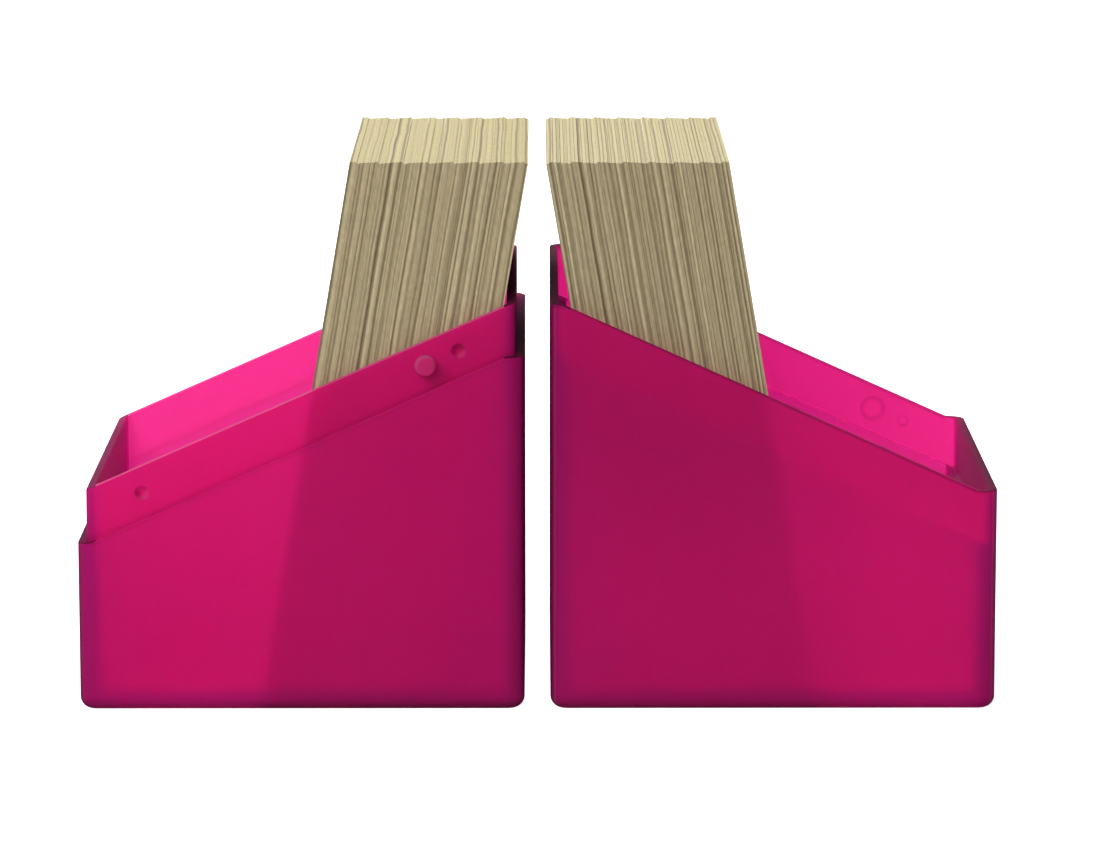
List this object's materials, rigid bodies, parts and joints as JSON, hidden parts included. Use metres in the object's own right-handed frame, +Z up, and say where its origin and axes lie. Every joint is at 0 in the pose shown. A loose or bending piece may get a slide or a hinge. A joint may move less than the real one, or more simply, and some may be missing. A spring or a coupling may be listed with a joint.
{
  "type": "two-part deck case",
  "caption": "Translucent deck case in two moulded halves with a slanting parting line, a lip and snap dimples, standing open with a leaning stack of cards in each half.",
  "frame": {"origin": "on the floor, midway between the two halves along the row and across it", "axes": "+X along the row from the base half to the lid half, +Y across, away from the pictured side, +Z up"},
  "size_m": [0.1564, 0.075, 0.0937],
  "materials": {
    "case_plastic": "frosted translucent magenta polypropylene",
    "card_stock": "cream card edges, satin"
  },
  "bodies": {
    "base_half": {"base_half": "case_plastic"},
    "lid_half": {"lid_half": "case_plastic"},
    "base_packet_01": {"base_card_packet_01": "card_stock"},
    "base_packet_02": {"base_card_packet_02": "card_stock"},
    "base_packet_03": {"base_card_packet_03": "card_stock"},
    "base_packet_04": {"base_card_packet_04": "card_stock"},
    "base_packet_05": {"base_card_packet_05": "card_stock"},
    "base_packet_06": {"base_card_packet_06": "card_stock"},
    "base_packet_07": {"base_card_packet_07": "card_stock"},
    "base_packet_08": {"base_card_packet_08": "card_stock"},
    "base_packet_09": {"base_card_packet_09": "card_stock"},
    "base_packet_10": {"base_card_packet_10": "card_stock"},
    "lid_packet_01": {"lid_card_packet_01": "card_stock"},
    "lid_packet_02": {"lid_card_packet_02": "card_stock"},
    "lid_packet_03": {"lid_card_packet_03": "card_stock"},
    "lid_packet_04": {"lid_card_packet_04": "card_stock"},
    "lid_packet_05": {"lid_card_packet_05": "card_stock"},
    "lid_packet_06": {"lid_card_packet_06": "card_stock"},
    "lid_packet_07": {"lid_card_packet_07": "card_stock"},
    "lid_packet_08": {"lid_card_packet_08": "card_stock"},
    "lid_packet_09": {"lid_card_packet_09": "card_stock"},
    "lid_packet_10": {"lid_card_packet_10": "card_stock"}
  },
  "joints": [
    {"name": "lid_lift", "type": "slide", "parent": "base_half", "child": "lid_half", "axis": [0, 0, 1], "range_m": [0, 0.2]},
    {"name": "base_packet_01_tilt", "type": "hinge", "parent": "base_half", "child": "base_packet_01", "pos_m": [-0.04711, 0, 0.0029], "axis": [0, -1, 0], "range_deg": [0, 47.5]},
    {"name": "base_packet_02_pull", "type": "slide", "parent": "base_half", "child": "base_packet_02", "axis": [0.1685, 0, 0.9857], "range_m": [0, 0.09]},
    {"name": "base_packet_03_pull", "type": "slide", "parent": "base_half", "child": "base_packet_03", "axis": [0.1685, 0, 0.9857], "range_m": [0, 0.09]},
    {"name": "base_packet_04_pull", "type": "slide", "parent": "base_half", "child": "base_packet_04", "axis": [0.1685, 0, 0.9857], "range_m": [0, 0.09]},
    {"name": "base_packet_05_pull", "type": "slide", "parent": "base_half", "child": "base_packet_05", "axis": [0.1685, 0, 0.9857], "range_m": [0, 0.09]},
    {"name": "base_packet_06_pull", "type": "slide", "parent": "base_half", "child": "base_packet_06", "axis": [0.1685, 0, 0.9857], "range_m": [0, 0.09]},
    {"name": "base_packet_07_pull", "type": "slide", "parent": "base_half", "child": "base_packet_07", "axis": [0.1685, 0, 0.9857], "range_m": [0, 0.09]},
    {"name": "base_packet_08_pull", "type": "slide", "parent": "base_half", "child": "base_packet_08", "axis": [0.1685, 0, 0.9857], "range_m": [0, 0.09]},
    {"name": "base_packet_09_pull", "type": "slide", "parent": "base_half", "child": "base_packet_09", "axis": [0.1685, 0, 0.9857], "range_m": [0, 0.09]},
    {"name": "base_packet_10_pull", "type": "slide", "parent": "base_half", "child": "base_packet_10", "axis": [0.1685, 0, 0.9857], "range_m": [0, 0.09]},
    {"name": "lid_packet_01_tilt", "type": "hinge", "parent": "lid_half", "child": "lid_packet_01", "pos_m": [0.04789, 0, 0.0029], "axis": [0, 1, 0], "range_deg": [0, 48.5]},
    {"name": "lid_packet_02_pull", "type": "slide", "parent": "lid_half", "child": "lid_packet_02", "axis": [-0.1685, 0, 0.9857], "range_m": [0, 0.09]},
    {"name": "lid_packet_03_pull", "type": "slide", "parent": "lid_half", "child": "lid_packet_03", "axis": [-0.1685, 0, 0.9857], "range_m": [0, 0.09]},
    {"name": "lid_packet_04_pull", "type": "slide", "parent": "lid_half", "child": "lid_packet_04", "axis": [-0.1685, 0, 0.9857], "range_m": [0, 0.09]},
    {"name": "lid_packet_05_pull", "type": "slide", "parent": "lid_half", "child": "lid_packet_05", "axis": [-0.1685, 0, 0.9857], "range_m": [0, 0.09]},
    {"name": "lid_packet_06_pull", "type": "slide", "parent": "lid_half", "child": "lid_packet_06", "axis": [-0.1685, 0, 0.9857], "range_m": [0, 0.09]},
    {"name": "lid_packet_07_pull", "type": "slide", "parent": "lid_half", "child": "lid_packet_07", "axis": [-0.1685, 0, 0.9857], "range_m": [0, 0.09]},
    {"name": "lid_packet_08_pull", "type": "slide", "parent": "lid_half", "child": "lid_packet_08", "axis": [-0.1685, 0, 0.9857], "range_m": [0, 0.09]},
    {"name": "lid_packet_09_pull", "type": "slide", "parent": "lid_half", "child": "lid_packet_09", "axis": [-0.1685, 0, 0.9857], "range_m": [0, 0.09]},
    {"name": "lid_packet_10_pull", "type": "slide", "parent": "lid_half", "child": "lid_packet_10", "axis": [-0.1685, 0, 0.9857], "range_m": [0, 0.09]}
  ]
}
